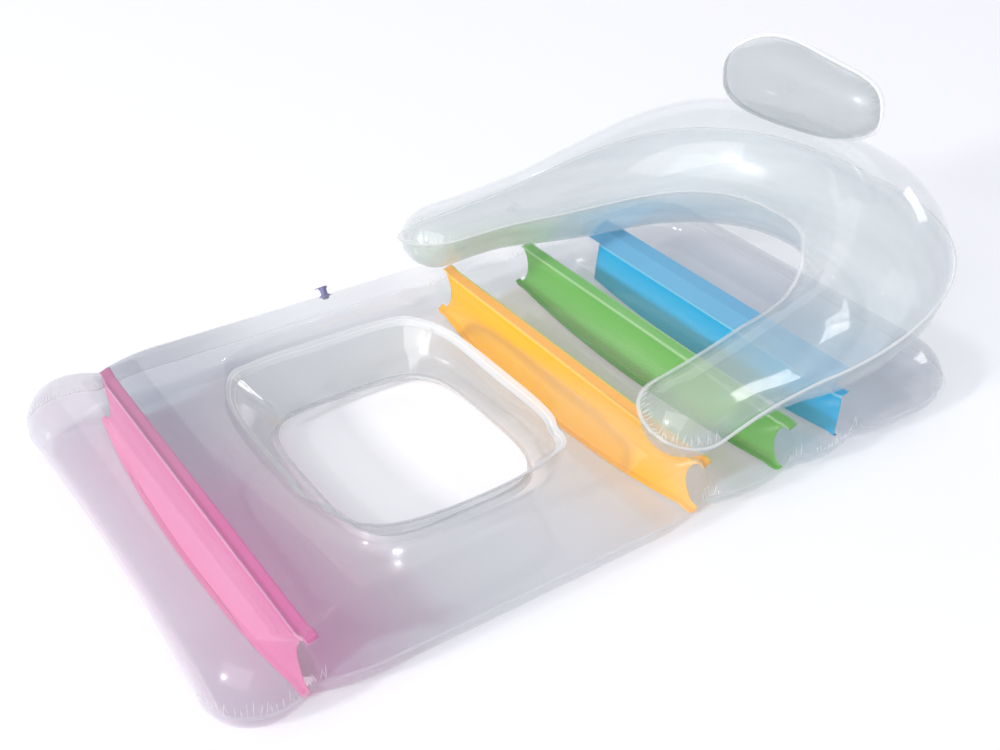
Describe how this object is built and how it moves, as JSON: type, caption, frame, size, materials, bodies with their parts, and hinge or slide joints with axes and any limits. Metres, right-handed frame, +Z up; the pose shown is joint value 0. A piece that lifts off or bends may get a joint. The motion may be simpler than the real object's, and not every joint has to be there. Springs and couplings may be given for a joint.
{
  "type": "inflatable pool lounger",
  "caption": "Clear film inflatable pool lounger with coloured webs, an open seat window, a raised horseshoe backrest with arms, and a head pillow.",
  "frame": {"origin": "middle of the footprint, on the ground", "axes": "+X from the foot to the head of the lounger, +Y to the side with the valves, +Z up"},
  "size_m": [1.4764, 0.8158, 0.5279],
  "materials": {
    "clear_film": "clear gloss",
    "pink_film": "gloss",
    "yellow_film": "gloss",
    "green_film": "gloss",
    "blue_film": "gloss",
    "valve_plastic": "satin"
  },
  "bodies": {
    "mattress": {"mattress_top_sheet": "clear_film", "mattress_bottom_sheet": "clear_film", "window_wall": "clear_film", "pink_web": "pink_film", "yellow_web": "yellow_film", "green_web": "green_film", "blue_web": "blue_film", "mattress_valve_base": "valve_plastic"},
    "backrest": {"backrest_top_sheet": "clear_film", "backrest_bottom_sheet": "clear_film", "backrest_tie_strip": "blue_film", "pillow_tie_strip": "clear_film", "backrest_valve_base": "valve_plastic"},
    "pillow": {"pillow_front_sheet": "clear_film", "pillow_back_sheet": "clear_film", "pillow_valve_base": "valve_plastic"},
    "mattress_stem": {"mattress_valve_stem": "valve_plastic"},
    "mattress_plug": {"mattress_valve_plug": "valve_plastic"},
    "mattress_flap": {"mattress_valve_flap": "clear_film"},
    "backrest_stem": {"backrest_valve_stem": "valve_plastic"},
    "backrest_plug": {"backrest_valve_plug": "valve_plastic"},
    "backrest_flap": {"backrest_valve_flap": "clear_film"},
    "pillow_stem": {"pillow_valve_stem": "valve_plastic"},
    "pillow_plug": {"pillow_valve_plug": "valve_plastic"},
    "pillow_flap": {"pillow_valve_flap": "clear_film"}
  },
  "joints": [
    {"name": "backrest_recline", "type": "hinge", "parent": "mattress", "child": "backrest", "pos_m": [0.3776, 0, 0.0874], "axis": [0, 1, 0], "range_deg": [-2, 6], "stiffness_Nm_per_rad": 20, "springref_deg": -1.72},
    {"name": "pillow_tilt", "type": "hinge", "parent": "backrest", "child": "pillow", "pos_m": [0.6074, 0, 0.37018], "axis": [0, 1, 0], "range_deg": [-3, 15], "stiffness_Nm_per_rad": 0.6},
    {"name": "mattress_valve_push_in", "type": "slide", "parent": "mattress", "child": "mattress_stem", "axis": [-0.0004, -0.5806, -0.8142], "range_m": [0, 0.0097]},
    {"name": "mattress_plug_lift", "type": "hinge", "parent": "mattress_stem", "child": "mattress_plug", "pos_m": [-0.1674, 0.38627, 0.11], "axis": [0.0005, 0.8142, -0.5806], "range_deg": [0, 120]},
    {"name": "mattress_flap_swing", "type": "hinge", "parent": "mattress_stem", "child": "mattress_flap", "pos_m": [-0.1732, 0.37368, 0.09233], "axis": [-0.0005, -0.8142, 0.5806], "range_deg": [0, 50], "stiffness_Nm_per_rad": 0.0001},
    {"name": "backrest_valve_push_in", "type": "slide", "parent": "backrest", "child": "backrest_stem", "axis": [0.0781, -0.7797, 0.6212], "range_m": [0, 0.0097]},
    {"name": "backrest_plug_lift", "type": "hinge", "parent": "backrest_stem", "child": "backrest_plug", "pos_m": [0.25114, 0.39731, 0.14988], "axis": [0.0619, -0.6181, -0.7836], "range_deg": [0, 120]},
    {"name": "backrest_flap_swing", "type": "hinge", "parent": "backrest_stem", "child": "backrest_flap", "pos_m": [0.24706, 0.37981, 0.16336], "axis": [-0.0619, 0.6181, 0.7836], "range_deg": [0, 50], "stiffness_Nm_per_rad": 0.0001},
    {"name": "pillow_valve_push_in", "type": "slide", "parent": "pillow", "child": "pillow_stem", "axis": [-0.9774, -0.209, 0.0312], "range_m": [0, 0.0097]},
    {"name": "pillow_plug_lift", "type": "hinge", "parent": "pillow_stem", "child": "pillow_plug", "pos_m": [0.6566, 0.08334, 0.41985], "axis": [-0.0305, -0.0065, -0.9995], "range_deg": [0, 120]},
    {"name": "pillow_flap_swing", "type": "hinge", "parent": "pillow_stem", "child": "pillow_flap", "pos_m": [0.63418, 0.08448, 0.42053], "axis": [0.0305, 0.0065, 0.9995], "range_deg": [0, 50], "stiffness_Nm_per_rad": 0.0001}
  ]
}
